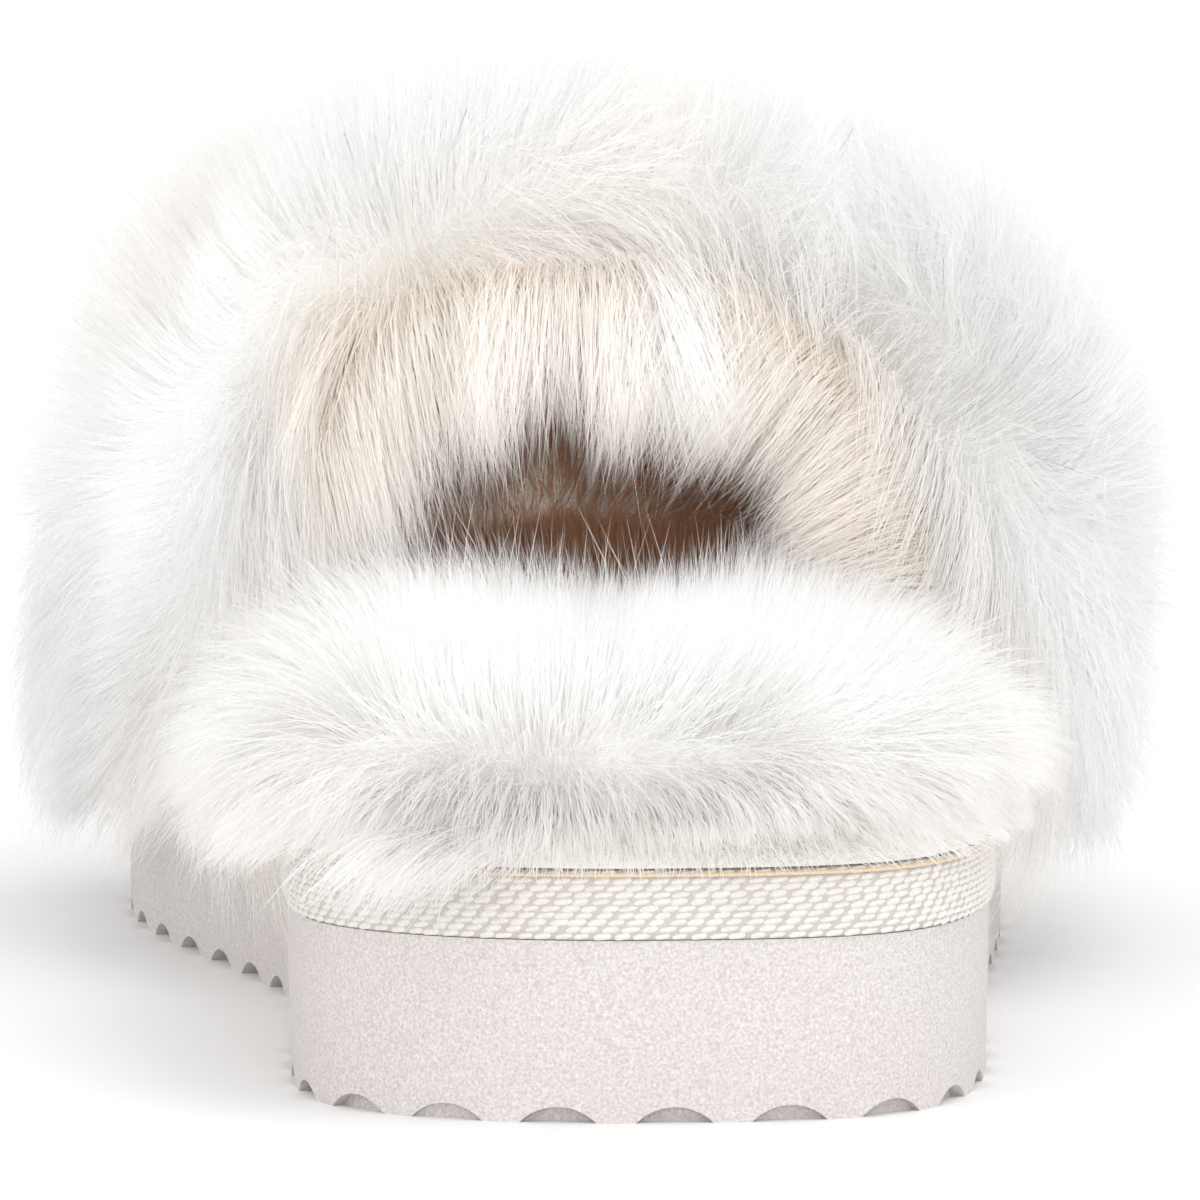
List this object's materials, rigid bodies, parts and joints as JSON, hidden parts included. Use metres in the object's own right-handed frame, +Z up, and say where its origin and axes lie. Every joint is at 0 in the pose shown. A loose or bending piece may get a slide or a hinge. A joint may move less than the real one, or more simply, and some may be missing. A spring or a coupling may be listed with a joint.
{
  "type": "house slipper",
  "caption": "Backless fluffy platform slipper for the right foot: long-pile plush upper and footbed on a tape-wrapped platform and a thick moulded foam outsole with a scalloped edge.",
  "frame": {"origin": "bottom centre of the whole slipper's bounding box, fur included; Z = 0 is the floor that the tread stands on", "axes": "+Y from the heel to the toe, +X to the outer (little-toe) side of the right foot, +Z up"},
  "size_m": [0.1414, 0.2867, 0.11],
  "materials": {
    "eva_foam": "moulded closed-cell foam with a fine stipple",
    "twill_tape": "woven cotton twill tape",
    "platform_foam": "closed-cell foam sheet",
    "fibre_board": "pressed fibre board",
    "cushion_foam": "soft open-cell foam",
    "sewing_thread": "spun polyester thread",
    "footbed_plush": "dense long-pile plush",
    "interlining": "stiff non-woven",
    "lining_plush": "cream long-pile plush",
    "vamp_plush": "long-pile plush"
  },
  "bodies": {
    "root": {"outsole": "eva_foam", "platform_tape": "twill_tape", "platform_foam": "platform_foam", "insole_board": "fibre_board", "footbed_cushion": "cushion_foam", "sock_seam_thread": "sewing_thread", "footbed_fur": "footbed_plush", "vamp_interlining": "interlining", "topline_seam_thread": "sewing_thread", "vamp_lining": "lining_plush", "vamp_fur": "vamp_plush"}
  },
  "joints": []
}
